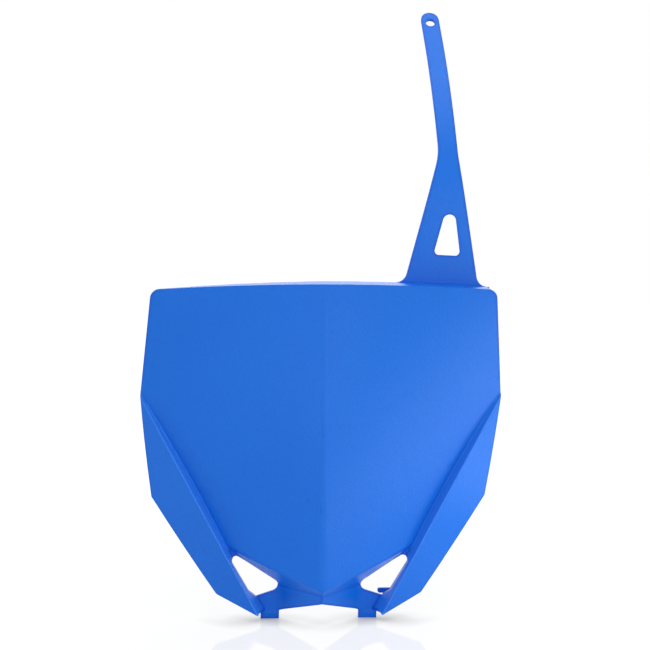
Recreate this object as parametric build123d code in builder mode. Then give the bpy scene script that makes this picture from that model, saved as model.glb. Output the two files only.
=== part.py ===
"""Front number board of an off-road motorbike: one plastic moulding.

Frame: X to the right seen from the front, Y to the rear, Z up. Z = 0 is the bottom of the feet, X = 0 is the
middle ridge, and the finished part is moved so that its box is centred on Y = 0. Millimetres throughout.
"""
import os
from math import atan, cos, radians, sin, tan

from build123d import *

# Wall and overall outline, seen from the front
wall = 2.2
board_width = 250.0
plate_height = 239.0
crown = 4.0
top_inset = 7.2
widest_height = 159.3
knee_inset = 7.8
knee_height = 86.1
lower_knee_half_width = 72.0
lower_knee_height = 18.2
tip_half_width = 43.3
tip_height = 5.1
chin_height = 17.0
side_bow = 0.5
top_corner_radius = 7.0
side_corner_radius = 12.0
knee_radius = 3.5

# Main panel: a vee that deepens downwards (slope = depth per millimetre from the ridge)
vee_slope_top = 0.02
vee_slope_low = 0.61
panel_bow = 1.5
ridge_radius_top = 60.0
ridge_radius_low = 9.0

# Raised side wings and the step down to the panel
step_height_top = 2.25
step_height_low = 15.2
knee_depth = 43.4
step_angle = 69.0
step_radius = 0.8

# Beak at the foot of the panel, and the apron behind it
beak_tip_height = 26.0
beak_end_height = 54.0
beak_end_inset = 3.0
apron_drop = 0.55
apron_depth_low = 37.5
valley_half_width = 45.0
valley_height = 37.0
prow_depth = 5.0
prow_sweep = 45.5
fold_height = 18.4
fold_rise = 0.12
fold_angle = 14.0
beak_radius = 3.5
apron_radius = 12.0

# Windows in the apron, with their outer corners a little inside the crest
window_inner = (22.6, 23.9)
window_top_height = 52.0
window_top_inset = 1.05
window_heel_height = 21.3
window_heel_inset = 2.5
window_low_height = 16.5
window_low_inset = 5.0
window_inner_radius = 5.0
window_top_radius = 3.0
window_low_radius = 0.8

# Feet
foot_inset = 2.55
foot_width = 12.85
foot_thickness = 3.0
foot_root = 6.3
foot_notch = 1.75
foot_lead = 1.1
foot_lead_height = 3.7

# Shelf along the top
shelf_depth = 23.0
shelf_end_depth = 5.0
shelf_end_inset = 5.8
shelf_bend_radius = 120.0

# Strap
strap_inset = 31.9
strap_thickness = 2.2
strap_neck_width = 13.3
strap_tip_width = 12.3
strap_lean = 0.083
strap_rise = 47.0
strap_bend_radius = 180.0
strap_bend = 41.0
strap_tail = 25.7
strap_neck_rise = 87.0
strap_neck_radius = 40.0
strap_root_left = 29.9
strap_root_right = 21.1
strap_root_radius = 8.0
strap_hole_diameter = 6.6
strap_hole_to_end = 9.2
slot_rise = 20.2
slot_left = 10.1
slot_right = 8.6
slot_apex_rise = 65.2
slot_apex_offset = 2.4
slot_apex_radius = 4.6
slot_corner_radius = 3.0

# Cable finger behind the right window, and the peg for the strap
finger_gap = 6.7
finger_lift = 1.3
finger_overlap = 2.2
finger_root_gap = 9.3
finger_width = 3.4
finger_thickness = 2.6
finger_tip_radius = 1.6
peg_offset = 7.5
peg_drop = 61.0
peg_diameter = 6.0
peg_head_diameter = 7.6
peg_length = 7.0
peg_head = 2.4
peg_boss_diameter = 13.0
peg_boss = 1.5
peg_head_taper = 25.0

# Derived
half_width = board_width / 2
top_half_width = half_width - top_inset
knee_half_width = half_width - knee_inset
section_top = plate_height + crown
lip = 30.0
reach = half_width
touching = 0.01
corner_height = plate_height - crown
foot_outer = tip_half_width - foot_inset
foot_inner = foot_outer - foot_width


def corner(point):
    """The corner of the sketch in hand that lies nearest to a point."""
    return vertices().sort_by_distance(point)[0]


def vee_slope(height):
    """Slope of the panel at a height."""
    share = (section_top - height) / section_top
    return vee_slope_top + (vee_slope_low - vee_slope_top) * share


def panel_depth(side, height):
    """Depth of the bowed panel behind the ridge at a distance from the middle and a height."""
    share = side / (half_width + lip)
    return vee_slope(height) * side - 4 * panel_bow * share * (1 - share)


def crest_side(height):
    """Distance of the wing's crest from the middle at a height."""
    share = (height - tip_height) / (widest_height - tip_height)
    return tip_half_width + (half_width - tip_half_width) * share


beak_end_side = crest_side(beak_end_height) - beak_end_inset
beak_end_depth = panel_depth(beak_end_side, beak_end_height)
apron_depth_top = beak_end_depth + apron_drop


def apron_depth(height):
    """Depth of the apron behind the ridge at a height."""
    return apron_depth_low + (apron_depth_top - apron_depth_low) * height / beak_end_height


def front_plane(first, second, third):
    """Plane through three points whose normal looks to the front."""
    start = Vector(*first)
    along = Vector(*second) - start
    normal = along.cross(Vector(*third) - start).normalized()
    if normal.Y > 0:
        normal = normal * -1
    return Plane(origin=start, x_dir=along, z_dir=normal)


# Planes of the right half
crest_top = Vector(half_width, panel_depth(half_width, widest_height) - step_height_top, widest_height)
crest_low = Vector(tip_half_width, apron_depth(tip_height) - step_height_low, tip_height)
knee = Vector(knee_half_width, knee_depth, knee_height)
crest_run = crest_top - crest_low
inward = Vector(-crest_run.Z, 0, crest_run.X).normalized()
step_fall = inward * cos(radians(step_angle)) + Vector(0, sin(radians(step_angle)), 0)
wing_plane = front_plane(crest_top, crest_low, knee)
step_plane = front_plane(crest_top, crest_low, crest_top + step_fall)
crest_cut = Plane(origin=crest_low, x_dir=(0, 1, 0), z_dir=inward)

apron_plane = front_plane(
    (0, apron_depth_low, 0), (half_width, apron_depth_low, 0), (0, apron_depth_top, beak_end_height)
)
prow_slope = tan(radians(prow_sweep))
prow_plane = front_plane((0, prow_depth, 0), (0, prow_depth, 1), (1, prow_depth + prow_slope, 0))
fold_line = Plane(
    origin=(0, prow_depth, fold_height), x_dir=(1, prow_slope, fold_rise), z_dir=prow_plane.z_dir
)
fold_plane = fold_line.rotated((fold_angle, 0, 0))
beak_tip = (0, 0, beak_tip_height)
beak_end = (beak_end_side, beak_end_depth, beak_end_height)
valley = (valley_half_width, apron_depth(valley_height), valley_height)
chin_plane = front_plane(beak_tip, beak_end, valley)


def block(planes, inset, top):
    """Right-hand block behind all the given planes, each moved inwards by the inset."""
    with BuildPart(Plane((0, -lip, -lip))) as piece:
        Box(half_width + lip, reach + lip + inset, top + lip, align=Align.MIN)
        for plane in planes:
            split(bisect_by=plane.offset(-inset), keep=Keep.BOTTOM)
    return piece.part


def panel(inset):
    """Everything behind the vee panel moved back by the inset."""
    with BuildPart() as piece:
        for height, radius in ((section_top, ridge_radius_top), (0, ridge_radius_low)):
            slope = vee_slope(height)
            shift = inset / cos(atan(slope))
            side = half_width + lip
            edge = side * slope + shift
            with BuildSketch(Plane.XY.offset(height)):
                with BuildLine():
                    ThreePointArc((0, shift), (side / 2, (edge + shift) / 2 - panel_bow), (side, edge))
                    Polyline((side, edge), (side, reach + inset), (-side, reach + inset), (-side, edge))
                    ThreePointArc((-side, edge), (-side / 2, (edge + shift) / 2 - panel_bow), (0, shift))
                make_face()
                fillet(corner((0, shift)), radius - inset)
        loft(ruled=True)
    return piece.part


def seam(*planes):
    """Edges of the part in hand that lie on all the given planes."""

    def lies_on(edge, plane):
        return all(abs(plane.to_local_coords(edge @ share).Z) < touching for share in (0, 0.5, 1))

    return edges().filter_by(lambda edge: all(lies_on(edge, plane) for plane in planes))


def beak(inset):
    """Right half of the panel with its foot cut to the beak, moved back by the inset."""
    under = chin_plane.offset(-inset)
    with BuildPart() as piece:
        add(panel(inset))
        split(bisect_by=Plane.YZ, keep=Keep.TOP)
        split(bisect_by=under, keep=Keep.BOTTOM)
        if inset < beak_radius:
            fillet(seam(under).filter_by(GeomType.BSPLINE), beak_radius - inset)
    return piece.part


def apron(inset):
    """Right half of the apron and its prow, moved back by the inset."""
    flat, prow, fold = (plane.offset(-inset) for plane in (apron_plane, prow_plane, fold_plane))
    with BuildPart() as piece:
        add(block([apron_plane], inset, beak_end_height))
        add(block([prow_plane, fold_plane], inset, beak_end_height))
        fillet(seam(flat, prow) + seam(flat, fold), apron_radius + inset)
    return piece.part


def wing(inset):
    """The right wing and its step, moved back by the inset."""
    with BuildPart() as piece:
        add(block([wing_plane, step_plane], inset, widest_height + lip))
        if inset < step_radius:
            fillet(seam(wing_plane.offset(-inset), step_plane.offset(-inset)), step_radius - inset)
    return piece.part


def skin(inset):
    """The right half of the solid behind the front skin, moved back by the inset."""
    with BuildPart() as piece:
        add(beak(inset))
        add(apron(inset))
        split(bisect_by=crest_cut.offset(-inset), keep=Keep.TOP)
        add(wing(inset))
    return piece.part


crown_radius = (top_half_width**2 + crown**2) / (2 * crown)
side_corner = (half_width, widest_height)
top_corner = (top_half_width, corner_height)
knee_corner = (knee_half_width, knee_height)
lower_knee_corner = (lower_knee_half_width, lower_knee_height)
tip_corner = (tip_half_width, tip_height)
notch_corner = (foot_outer + foot_notch, foot_root)

with BuildPart() as outline:
    with BuildSketch(Plane.XZ.offset(lip)):
        with BuildLine():
            RadiusArc((0, plate_height), top_corner, crown_radius)
            Line(top_corner, side_corner)
            SagittaArc(side_corner, knee_corner, side_bow)
            SagittaArc(knee_corner, lower_knee_corner, side_bow)
            Line(lower_knee_corner, tip_corner)
            Polyline(tip_corner, notch_corner, (foot_inner, foot_root), (0, chin_height))
            Line((0, chin_height), (0, plate_height))
        make_face()
        fillet(corner(top_corner), top_corner_radius)
        fillet(corner(side_corner), side_corner_radius)
        fillet(corner(knee_corner), knee_radius)
        fillet(corner(lower_knee_corner), knee_radius)
        mirror(about=Plane.YZ)
    extrude(amount=-(reach + 2 * lip))

window_top = (crest_side(window_top_height) - window_top_inset, window_top_height)
window_heel = (crest_side(window_heel_height) - window_heel_inset, window_heel_height)
window_low_side = crest_side(window_low_height) - window_low_inset
window_low = (window_low_side, window_low_height)

with BuildPart() as windows:
    with BuildSketch(Plane.XZ.offset(lip)):
        with BuildLine():
            Polyline(window_inner, window_top, window_heel, window_low, close=True)
        make_face()
        fillet(corner(window_inner), window_inner_radius)
        fillet(corner(window_top), window_top_radius)
        fillet(corner(window_low), window_low_radius)
        mirror(about=Plane.YZ)
    extrude(amount=-(reach + 2 * lip))

foot_front = apron_depth(foot_root)

with BuildPart() as feet:
    with BuildSketch(Plane.YZ.offset(foot_inner)):
        with BuildLine():
            Polyline(
                (foot_front, foot_root + foot_thickness),
                (foot_front, foot_lead_height),
                (foot_front + foot_lead, 0),
                (foot_front + foot_thickness, 0),
                (foot_front + foot_thickness, foot_root + foot_thickness),
                close=True,
            )
        make_face()
    extrude(amount=foot_outer - foot_inner)
    mirror(about=Plane.YZ)


with BuildPart() as front:
    add(skin(0))
    add(outline.part, mode=Mode.INTERSECT)
    step_foot = seam(step_plane).filter_by(GeomType.BSPLINE).sort_by(SortBy.LENGTH)[-1]
    fillet(step_foot, step_radius)
    mirror(about=Plane.YZ)

with BuildPart() as cavity:
    add(skin(wall))
    mirror(about=Plane.YZ)

with BuildPart() as wall_middle:
    add(skin(wall / 2))

shelf_low = corner_height - wall
shelf_left_end = -(top_half_width - shelf_end_inset)
strap_centre = top_half_width - strap_inset
shelf_right_end = strap_centre + strap_root_right + strap_root_radius

with BuildPart() as shelf:
    with BuildSketch(Plane.XZ.offset(lip)):
        with BuildLine():
            top_line = RadiusArc((-top_half_width, corner_height), top_corner, crown_radius)
            low_line = RadiusArc((top_half_width, shelf_low), (-top_half_width, shelf_low), -crown_radius)
            Line(top_line @ 1, low_line @ 0)
            Line(low_line @ 1, top_line @ 0)
        make_face()
    extrude(amount=-(reach + lip))
    with BuildSketch():
        with BuildLine():
            Polyline(
                (shelf_left_end, -lip),
                (shelf_left_end, shelf_end_depth),
                (0, shelf_depth),
                (shelf_right_end, shelf_depth),
                (shelf_right_end, -lip),
                close=True,
            )
        make_face()
        fillet(corner((0, shelf_depth)), shelf_bend_radius)
    extrude(amount=plate_height + lip, mode=Mode.INTERSECT)
    add(front.part, mode=Mode.INTERSECT)


def shelf_top(side):
    """Height of the shelf's crowned top at a distance from the middle."""
    return plate_height - side**2 / (2 * crown_radius)


shelf_rear = shelf_depth - strap_thickness
bend = radians(strap_bend)
bend_foot = plate_height + strap_rise
tail_start = (shelf_rear + strap_bend_radius * (1 - cos(bend)), bend_foot + strap_bend_radius * sin(bend))
strap_neck_height = plate_height + strap_neck_rise
strap_peak = bend_foot + strap_bend_radius
peak_centre = strap_centre - strap_lean * (strap_peak - strap_neck_height)
root_left = (strap_centre - strap_root_left, shelf_top(strap_centre - strap_root_left))
root_right = (strap_centre + strap_root_right, shelf_top(strap_centre + strap_root_right))
flare_left = root_left[0] - strap_root_radius
flare_right = root_right[0] + strap_root_radius
neck_left = (strap_centre - strap_neck_width / 2, strap_neck_height)
neck_right = (strap_centre + strap_neck_width / 2, strap_neck_height)
slot_left_corner = (strap_centre - slot_left, shelf_top(strap_centre - slot_left) + slot_rise)
slot_right_corner = (strap_centre + slot_right, shelf_top(strap_centre + slot_right) + slot_rise)
slot_apex = (strap_centre + slot_apex_offset, plate_height + slot_apex_rise)


def tail_plane(from_end):
    """Plane on the strap's flat tail, at a distance from its end, Y along the strap."""
    along = strap_tail - from_end
    rear = tail_start[0] + along * sin(bend)
    height = tail_start[1] + along * cos(bend)
    side = strap_centre - strap_lean * (height - strap_neck_height)
    turn = strap_lean * cos(bend)
    across = (1, turn * sin(bend), turn * cos(bend))
    return Plane(origin=(side, rear, height), x_dir=across, z_dir=(0, -cos(bend), sin(bend)))


with BuildPart() as strap:
    with BuildSketch(Plane.YZ):
        with BuildLine():
            Line((shelf_rear, shelf_low), (shelf_rear, bend_foot))
            bend_line = RadiusArc((shelf_rear, bend_foot), tail_start, strap_bend_radius)
            PolarLine(bend_line @ 1, strap_tail, 90 - strap_bend)
            offset(amount=strap_thickness, side=Side.RIGHT, closed=True)
        make_face()
    extrude(amount=half_width)
    with BuildSketch(Plane.XZ):
        with BuildLine():
            Polyline(
                (flare_left, shelf_low),
                (flare_left, shelf_top(flare_left)),
                root_left,
                neck_left,
                (peak_centre - strap_tip_width / 2, strap_peak),
                (peak_centre + strap_tip_width / 2, strap_peak),
                neck_right,
                root_right,
                (flare_right, shelf_top(flare_right)),
                (flare_right, shelf_low),
                close=True,
            )
        make_face()
        fillet([corner(root_left), corner(root_right)], strap_root_radius)
        fillet([corner(neck_left), corner(neck_right)], strap_neck_radius)
    extrude(amount=-2 * reach, mode=Mode.INTERSECT)
    with BuildSketch(Plane.XZ):
        with BuildLine():
            Polyline(slot_left_corner, slot_apex, slot_right_corner, close=True)
        make_face()
        fillet(corner(slot_apex), slot_apex_radius)
        fillet([corner(slot_left_corner), corner(slot_right_corner)], slot_corner_radius)
    extrude(amount=-reach, mode=Mode.SUBTRACT)
    with BuildSketch(tail_plane(strap_tip_width / 2)):
        Rectangle(3 * strap_tip_width, 2 * strap_tip_width, align=(Align.CENTER, Align.MIN))
        Circle(strap_tip_width / 2, mode=Mode.SUBTRACT)
    extrude(amount=2 * strap_thickness, both=True, mode=Mode.SUBTRACT)
    with BuildSketch(tail_plane(strap_hole_to_end)):
        Circle(strap_hole_diameter / 2)
    extrude(amount=2 * strap_thickness, both=True, mode=Mode.SUBTRACT)

finger_tip = window_low_side - finger_overlap
finger_root = window_low_side + finger_root_gap
finger_height = window_low_height + finger_lift
finger_depth = apron_depth(finger_height) + wall + finger_gap + finger_thickness

with BuildPart() as finger:
    with BuildSketch(Plane.XY.offset(finger_height - finger_width / 2)):
        with BuildLine():
            Polyline(
                (finger_root - finger_thickness, 0),
                (finger_root - finger_thickness, finger_depth - finger_thickness),
                (finger_tip, finger_depth - finger_thickness),
                (finger_tip, finger_depth),
                (finger_root, finger_depth),
                (finger_root, 0),
                close=True,
            )
        make_face()
        fillet(corner((finger_root, finger_depth)), finger_thickness)
    extrude(amount=finger_width)
    fillet(edges().filter_by(Axis.Y).group_by(Axis.X)[0], finger_tip_radius)
    add(wall_middle.part, mode=Mode.INTERSECT)

peg_side = strap_centre - peg_offset
peg_height = plate_height - peg_drop
peg_seat = panel_depth(peg_side, peg_height) + wall + peg_boss
peg_plane = Plane(origin=(peg_side, peg_seat, peg_height), x_dir=(1, 0, 0), z_dir=(0, 1, 0))

with BuildPart() as peg:
    with BuildSketch(peg_plane):
        Circle(peg_boss_diameter / 2)
    extrude(amount=-peg_boss_diameter)
    with BuildSketch(peg_plane):
        Circle(peg_diameter / 2)
    extrude(amount=peg_length)
    with BuildSketch(peg_plane.offset(peg_length)):
        Circle(peg_head_diameter / 2)
    extrude(amount=peg_head, taper=peg_head_taper)
    add(wall_middle.part, mode=Mode.INTERSECT)

with BuildPart() as board:
    add(front.part)
    add(cavity.part, mode=Mode.SUBTRACT)
    add(windows.part, mode=Mode.SUBTRACT)
    add(feet.part)
    add(shelf.part)
    add(strap.part)
    add(finger.part)
    add(peg.part)

box_middle = board.part.bounding_box().center().Y

with BuildPart() as number_board:
    add(board.part.moved(Location((0, -box_middle, 0))))

number_board.part.label = "number_board"
os.makedirs("parts", exist_ok=True)
export_step(number_board.part, "parts/number_board.step")
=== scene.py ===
"""Studio picture of the racing number board: its blue plastic, a pale floor, soft light and the camera."""
from math import cos, radians, sin

import bpy
from mathutils import Matrix, Vector

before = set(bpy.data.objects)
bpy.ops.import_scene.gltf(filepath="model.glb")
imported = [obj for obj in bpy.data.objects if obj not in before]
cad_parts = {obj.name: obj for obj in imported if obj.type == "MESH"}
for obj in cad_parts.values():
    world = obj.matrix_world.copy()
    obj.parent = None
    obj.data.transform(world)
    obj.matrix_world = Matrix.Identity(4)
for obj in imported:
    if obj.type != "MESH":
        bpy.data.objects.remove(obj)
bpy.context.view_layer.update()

# Colours, as red, green, blue and opacity
WHITE = (1.0, 1.0, 1.0, 1.0)
BLUE = (0.0045, 0.1460, 0.670, 1.0)
PALE_BLUE = (0.0055, 0.1520, 0.684, 1.0)
DEEP_BLUE = (0.0030, 0.090, 0.520, 1.0)
# Painted shade along sharp edge lines
EDGE_SHADE_BLUE = (0.0000, 0.100, 0.600, 1.0)
# Painted highlight along the wing crests
CREST_HIGHLIGHT_BLUE = (0.0600, 0.240, 0.850, 1.0)
# Painted light on the step faces near the crests that turn towards the ridge
FACET_LIGHT_BLUE = (0.0280, 0.200, 0.760, 1.0)

# Plastic: gloss, grain, flow clouds and specks, with lengths in metres
SATIN_ROUGHNESS = 0.34
ROUGHNESS_SPREAD = 0.05
SPECULAR_LEVEL = 0.22
GRAIN_SIZE = 0.0011
GRAIN_DETAIL = 2.0
GRAIN_HEIGHT = 0.00016
FLOW_SIZE = 0.09
FLOW_DETAIL = 2.0
SPECK_SIZE = 0.0014
SPECK_DETAIL = 3.0
SPECK_SHARE = 0.16
NOISE_RANGE = (0.3, 0.7)

# Painted shade along edge lines, painted highlight on the right wing's crest, painted light on the step
# faces, and the shelf and gate mark, with lengths in metres.
# Each pair says where a fade starts and ends. EDGE_TURN is the cosine of the angle between the rounded
# normal and the surface's own, and FACET_TURN is the normal's outward share, negative towards the ridge.
EDGE_RADIUS = 0.0040
EDGE_SAMPLES = 8
EDGE_TURN = (0.90, 0.98)
CREST_TOP = Vector((0.1250, -0.0170, 0.1593))
CREST_LOW = Vector((0.0433, -0.0200, 0.0051))
CREST_HIGHLIGHT_RIM = (0.00027, 0.0009)
CREST_CLEAR = (0.006, 0.009)
FACET_TURN = (-0.35, -0.15)
FACET_REACH = (0.010, 0.020)
SHELF_HEIGHT = 0.2390
SHELF_CLEAR = (0.004, 0.007)
GATE_MARK = (-0.0106, 0.0, 0.0900)
GATE_RIM = (0.00048, 0.00096)
FRONT_PLANE = (1.0, 0.0, 1.0)

# Camera: where it stands around the board in metres, its sensor in millimetres, and the photograph's frame
CAMERA_YAW = radians(-4.488)
CAMERA_PITCH = radians(6.304)
CAMERA_ROLL = radians(0.467)
CAMERA_DISTANCE = 1.661
CAMERA_TARGET = Vector((0.0032, 0.0, 0.2067))
FOCAL_PIXELS = 2388.8
FRAME_PIXELS = 650
SENSOR_WIDTH = 36.0

# Studio: floor, backdrop and lamps, with lengths in metres and power in watts
FLOOR_SIZE = 12.0
FLOOR_BOUNCE = 0.90
FLOOR_WHITE = 0.14
FLOOR_POLISH = 0.06
FLOOR_REFLECTION = 0.14
FLOOR_GLOW = 0.91
BACKDROP_GLOW = 1.0
GLOW_SPREAD = (0.16, 0.34)
SHADOW_REACH = 0.025
SHADOW_SAMPLES = 32
WORLD_GLOW = 0.27
LAMP_AIM = (0.0, 0.0, 0.16)
LAMPS = {
    "near_panel": {"place": (0.21, -0.13, 0.08), "size": (0.12, 0.12), "power": 0.07},
    "near_strip": {
        "place": (0.215, -0.15, 0.06),
        "aim": (0.0, -0.15, 0.16),
        "size": (0.34, 0.08),
        "power": 0.14,
    },
    "strap_near": {"place": (0.09, -0.20, 0.60), "size": (0.2, 0.2), "power": 0.20},
    "overhead": {"place": (0.00, -0.20, 1.70), "size": (1.2, 1.2), "power": 10.7},
    "front_right": {"place": (0.60, -1.70, 0.28), "size": (0.5, 0.5), "power": 3.8},
    "front_left": {"place": (-0.60, -1.70, 0.28), "size": (0.5, 0.5), "power": 3.0},
    "left_side": {"place": (-1.60, -0.10, 0.50), "size": (0.9, 0.9), "power": 5.6},
    "front_high": {"place": (0.00, -1.40, 1.40), "size": (1.0, 1.0), "power": 4.4},
    "rear": {"place": (0.30, 1.50, 1.25), "size": (1.2, 1.2), "power": 11.0},
}


def material(name):
    """A new node material with its tree and its surface shader."""
    made = bpy.data.materials.new(name)
    made.use_nodes = True
    tree = made.node_tree
    return made, tree, tree.nodes["Principled BSDF"]


def feed(tree, made, inputs):
    """Sets inputs of a node, each to another node's output or to a plain number, vector or colour."""
    for name, value in inputs.items():
        if isinstance(value, bpy.types.NodeSocket):
            tree.links.new(value, made.inputs[name])
        else:
            made.inputs[name].default_value = value


def node(tree, kind, inputs, **settings):
    """A new node of a kind, with the given inputs and settings."""
    made = tree.nodes.new(kind)
    for name, value in settings.items():
        setattr(made, name, value)
    feed(tree, made, inputs)
    return made


def maths(tree, operation, *values):
    """Result of an operation on numbers."""
    made = node(tree, "ShaderNodeMath", dict(enumerate(values)), operation=operation)
    return made.outputs["Value"]


def vectors(tree, operation, output, *values):
    """Result of an operation on vectors: its Vector or its Value."""
    made = node(tree, "ShaderNodeVectorMath", dict(enumerate(values)), operation=operation)
    return made.outputs[output]


def times(tree, first, second):
    """Product of two values."""
    return maths(tree, "MULTIPLY", first, second)


def axis(tree, vector, name):
    """One coordinate of a vector."""
    return node(tree, "ShaderNodeSeparateXYZ", {"Vector": vector}).outputs[name]


def surface(tree, name):
    """The surface's position or normal."""
    return node(tree, "ShaderNodeNewGeometry", {}).outputs[name]


def noise(tree, place, size, detail):
    """Cloudy noise whose features are about the given size in metres."""
    inputs = {"Vector": place, "Scale": 1.0 / size, "Detail": detail}
    return node(tree, "ShaderNodeTexNoise", inputs).outputs["Fac"]


def ramp(tree, value, start, end, low=0.0, high=1.0):
    """Smooth change from low to high while the value goes from start to end."""
    inputs = {"Value": value, "From Min": start, "From Max": end, "To Min": low, "To Max": high}
    made = node(tree, "ShaderNodeMapRange", inputs, interpolation_type="SMOOTHSTEP")
    return made.outputs["Result"]


def fade(tree, value, start, end):
    """Smooth fall from 1 to 0 while the value goes from start to end."""
    return ramp(tree, value, start, end, 1.0, 0.0)


def spread(tree, value, low, high):
    """A noise's usual range spread from low to high."""
    return ramp(tree, value, *NOISE_RANGE, low, high)


def mix(tree, share, first, second):
    """First colour turning into the second as the share goes from 0 to 1."""
    inputs = {"Factor": share, "A": first, "B": second}
    return node(tree, "ShaderNodeMix", inputs, data_type="RGBA").outputs["Result"]


def gate_mark(tree, place):
    """1 inside the small round gate mark beside the ridge, 0 elsewhere."""
    flat = vectors(tree, "MULTIPLY", "Vector", place, FRONT_PLANE)
    return fade(tree, vectors(tree, "DISTANCE", "Value", flat, GATE_MARK), *GATE_RIM)


def crest_away(tree, place):
    """Distance from the crest of either wing, the left one being the mirror image of the right."""
    mirrored = node(tree, "ShaderNodeCombineXYZ", {
        "X": maths(tree, "ABSOLUTE", axis(tree, place, "X")),
        "Y": axis(tree, place, "Y"),
        "Z": axis(tree, place, "Z"),
    })
    offset = vectors(tree, "SUBTRACT", "Vector", mirrored.outputs["Vector"], CREST_LOW)
    along = (CREST_TOP - CREST_LOW).normalized()
    across = vectors(tree, "CROSS_PRODUCT", "Vector", offset, along)
    return vectors(tree, "LENGTH", "Value", across)


def inward(tree, place):
    """1 on faces that turn towards the middle ridge, 0 on faces that turn outward or straight ahead."""
    side = maths(tree, "SIGN", axis(tree, place, "X"))
    facing = axis(tree, surface(tree, "True Normal"), "X")
    return fade(tree, times(tree, side, facing), *FACET_TURN)


def shelf_away(tree, place):
    """Height above or below the top shelf and the front's upper edge."""
    above = maths(tree, "SUBTRACT", axis(tree, place, "Z"), SHELF_HEIGHT)
    return maths(tree, "ABSOLUTE", above)


def painted_edge_shade(tree):
    """Mask of painted edge shade: 1 along each sharp edge, where a rounded normal turns away from the
    surface's own, 0 on the faces.
    """
    edge = node(tree, "ShaderNodeBevel", {"Radius": EDGE_RADIUS}, samples=EDGE_SAMPLES)
    same = vectors(tree, "DOT_PRODUCT", "Value", edge.outputs["Normal"], surface(tree, "Normal"))
    return fade(tree, same, *EDGE_TURN)


def board_colour(tree, place, specks):
    """Blue with flow clouds, specks and the gate mark, painted shade along each sharp edge, painted light
    on the step faces and a painted highlight on the crests.
    """
    clouds = noise(tree, place, FLOW_SIZE, FLOW_DETAIL)
    colour = mix(tree, spread(tree, clouds, 0.0, 1.0), BLUE, PALE_BLUE)
    crest = crest_away(tree, place)
    # Painted light on the step faces near the crests that turn towards the ridge
    facet_light = times(tree, inward(tree, place), fade(tree, crest, *FACET_REACH))
    # Painted shade along sharp edge lines, kept off the crests and the shelf
    edge_shade = times(tree, painted_edge_shade(tree), ramp(tree, crest, *CREST_CLEAR))
    edge_shade = times(tree, edge_shade, ramp(tree, shelf_away(tree, place), *SHELF_CLEAR))
    layers = (
        (spread(tree, specks, 0.0, SPECK_SHARE), DEEP_BLUE),
        (gate_mark(tree, place), DEEP_BLUE),
        (facet_light, FACET_LIGHT_BLUE),
        (edge_shade, EDGE_SHADE_BLUE),
        # Painted highlight along both wing crests
        (fade(tree, crest, *CREST_HIGHLIGHT_RIM), CREST_HIGHLIGHT_BLUE),
    )
    for share, layer in layers:
        colour = mix(tree, share, colour, layer)
    return colour


def blue_plastic():
    """Satin moulded plastic with a fine grain."""
    made, tree, shader = material("blue_plastic")
    place = node(tree, "ShaderNodeTexCoord", {}).outputs["Object"]
    specks = noise(tree, place, SPECK_SIZE, SPECK_DETAIL)
    smooth = SATIN_ROUGHNESS - ROUGHNESS_SPREAD
    rough = SATIN_ROUGHNESS + ROUGHNESS_SPREAD
    height = noise(tree, place, GRAIN_SIZE, GRAIN_DETAIL)
    grain = node(tree, "ShaderNodeBump", {"Height": height, "Distance": GRAIN_HEIGHT})
    feed(tree, shader, {
        "Base Color": board_colour(tree, place, specks),
        "Roughness": spread(tree, specks, smooth, rough),
        "Specular IOR Level": SPECULAR_LEVEL,
        "Normal": grain.outputs["Normal"],
    })
    return made


def dress_board():
    """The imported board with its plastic."""
    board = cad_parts["number_board"]
    board.data.materials.clear()
    board.data.materials.append(blue_plastic())


def seen(tree):
    """1 for rays from the camera and from reflections and see-through surfaces, 0 for light on surfaces."""
    rays = node(tree, "ShaderNodeLightPath", {}).outputs
    total = rays["Is Camera Ray"]
    for name in ("Is Glossy Ray", "Is Transmission Ray"):
        total = maths(tree, "MAXIMUM", total, rays[name])
    return total


def floor_white():
    """Floor that looks white, with the board's shadow, partly cast by the lamps and partly painted into its
    glow, and faint mirror image, and throws light back up.
    """
    made, tree, shader = material("floor_white")
    visible = seen(tree)
    away = vectors(tree, "LENGTH", "Value", surface(tree, "Position"))
    open_sky = node(tree, "ShaderNodeAmbientOcclusion", {"Distance": SHADOW_REACH}, samples=SHADOW_SAMPLES)
    glow = ramp(tree, away, *GLOW_SPREAD, FLOOR_GLOW, BACKDROP_GLOW)
    # The glow is darkened by ambient occlusion: a painted contact shadow on the floor under and around the
    # feet.
    glow = times(tree, glow, open_sky.outputs["AO"])
    feed(tree, shader, {
        "Base Color": ramp(tree, visible, 0.0, 1.0, FLOOR_BOUNCE, FLOOR_WHITE),
        "Specular IOR Level": 0.0,
        "Emission Color": WHITE,
        "Emission Strength": times(tree, glow, visible),
    })
    polish = node(tree, "ShaderNodeBsdfGlossy", {"Roughness": FLOOR_POLISH})
    layers = (FLOOR_REFLECTION, shader.outputs["BSDF"], polish.outputs["BSDF"])
    blend = node(tree, "ShaderNodeMixShader", dict(enumerate(layers)))
    feed(tree, tree.nodes["Material Output"], {"Surface": blend.outputs["Shader"]})
    return made


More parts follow.
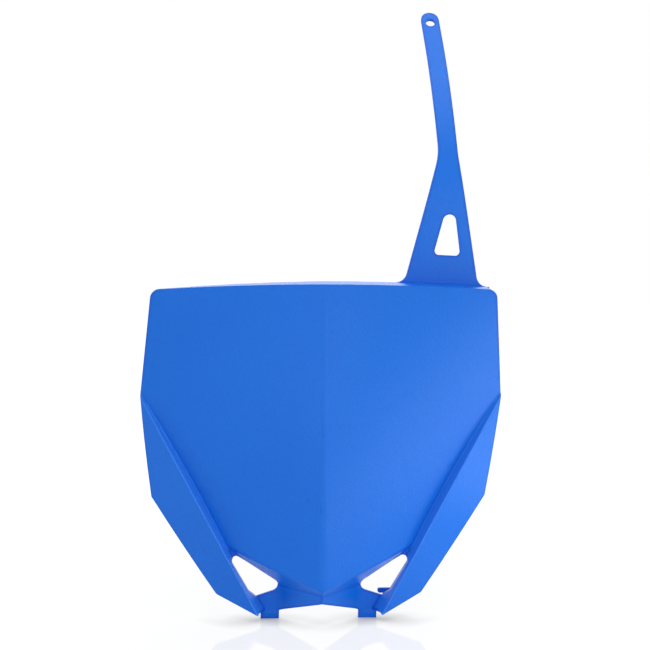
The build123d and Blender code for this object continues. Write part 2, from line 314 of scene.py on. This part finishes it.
def floor():
    """Wide square floor at the bottom of the feet."""
    half = FLOOR_SIZE / 2
    corners = [(-half, -half, 0.0), (half, -half, 0.0), (half, half, 0.0), (-half, half, 0.0)]
    mesh = bpy.data.meshes.new("floor")
    mesh.from_pydata(corners, [], [(0, 1, 2, 3)])
    mesh.materials.append(floor_white())
    ground = bpy.data.objects.new("floor", mesh)
    bpy.context.scene.collection.objects.link(ground)


def backdrop():
    """World that the camera and reflections see as white and that lights the board softly."""
    world = bpy.data.worlds.new("studio")
    world.use_nodes = True
    tree = world.node_tree
    level = ramp(tree, seen(tree), 0.0, 1.0, WORLD_GLOW, BACKDROP_GLOW)
    feed(tree, tree.nodes["Background"], {"Color": WHITE, "Strength": level})
    bpy.context.scene.world = world


def lamps():
    """Soft area lamps, each turned to the middle of the board or to its own aim."""
    for name, lamp in LAMPS.items():
        data = bpy.data.lights.new(name, "AREA")
        data.shape = "RECTANGLE"
        data.size, data.size_y = lamp["size"]
        data.energy = lamp["power"]
        made = bpy.data.objects.new(name, data)
        made.location = lamp["place"]
        made.visible_camera = False
        toward = Vector(lamp.get("aim", LAMP_AIM)) - made.location
        made.rotation_euler = toward.to_track_quat("-Z", "Y").to_euler()
        bpy.context.scene.collection.objects.link(made)


def camera():
    """The photograph's camera: in front, a little to the left and above, with a long lens."""
    back = Vector((
        sin(CAMERA_YAW) * cos(CAMERA_PITCH),
        -cos(CAMERA_YAW) * cos(CAMERA_PITCH),
        sin(CAMERA_PITCH),
    ))
    level = Vector((cos(CAMERA_YAW), sin(CAMERA_YAW), 0.0))
    upright = back.cross(level)
    right = cos(CAMERA_ROLL) * level + sin(CAMERA_ROLL) * upright
    up = back.cross(right)
    data = bpy.data.cameras.new("camera")
    data.sensor_width = SENSOR_WIDTH
    data.lens = SENSOR_WIDTH * FOCAL_PIXELS / FRAME_PIXELS
    made = bpy.data.objects.new("camera", data)
    turn = Matrix((right, up, back)).transposed().to_4x4()
    made.matrix_world = Matrix.Translation(CAMERA_TARGET + CAMERA_DISTANCE * back) @ turn
    bpy.context.scene.collection.objects.link(made)
    bpy.context.scene.camera = made


dress_board()
floor()
backdrop()
lamps()
camera()
bpy.context.scene.view_settings.view_transform = "Standard"
